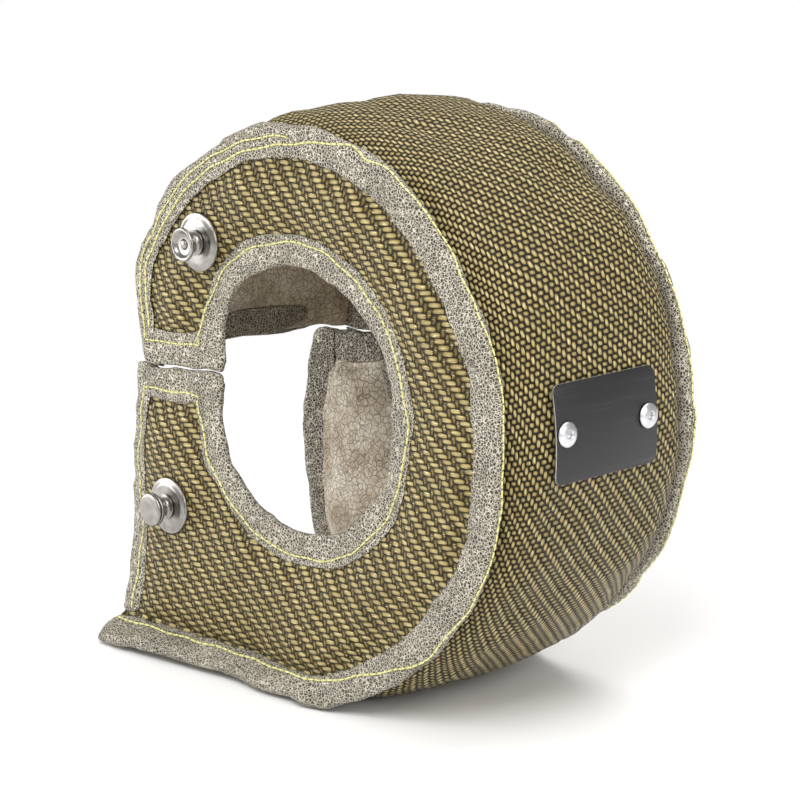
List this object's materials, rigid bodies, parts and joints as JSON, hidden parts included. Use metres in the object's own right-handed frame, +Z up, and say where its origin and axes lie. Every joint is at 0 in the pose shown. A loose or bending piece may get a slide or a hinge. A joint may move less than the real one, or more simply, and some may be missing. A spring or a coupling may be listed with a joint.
{
  "type": "turbo heat blanket",
  "caption": "Padded heat blanket for a turbine housing: a wide band between round faces with a hole and a slit, an open mouth, taped edges, lacing anchors and a bare plate.",
  "frame": {"origin": "on the flat spot the blanket stands on, straight below the axis of the ring, at mid-width", "axes": "+Y along the ring's axis from the face with the anchors to the plain one, +Z up, -X towards the slit and the open mouth"},
  "size_m": [0.2169, 0.1312, 0.2191],
  "materials": {
    "cloth": "woven mineral cloth, dull sheen",
    "insulation": "matted fibre, fully matt",
    "lining": "crinkled wire mesh cloth, dull",
    "tape": "knitted wire tape, dull",
    "steel": "brushed",
    "plate": "black, satin",
    "aluminium": "satin"
  },
  "bodies": {
    "root": {"front_outer_cloth": "cloth", "front_insulation": "insulation", "front_lining": "lining", "front_seam_binding": "tape", "front_hole_binding": "tape", "front_mouth_binding": "tape", "rear_outer_cloth": "cloth", "rear_insulation": "insulation", "rear_lining": "lining", "rear_seam_binding": "tape", "rear_hole_binding": "tape", "rear_mouth_binding": "tape", "band_outer_cloth": "cloth", "band_insulation": "insulation", "band_lining": "lining", "band_upper_binding": "tape", "band_tail_binding": "tape", "upper_anchor_washer": "steel", "upper_anchor_spool": "steel", "upper_anchor_pin": "steel", "lower_anchor_washer": "steel", "lower_anchor_spool": "steel", "lower_anchor_pin": "steel", "lower_anchor_cap": "steel", "name_plate": "plate", "plate_rivet_front": "aluminium", "rivet_washer_front": "aluminium", "plate_rivet_rear": "aluminium", "rivet_washer_rear": "aluminium"}
  },
  "joints": []
}
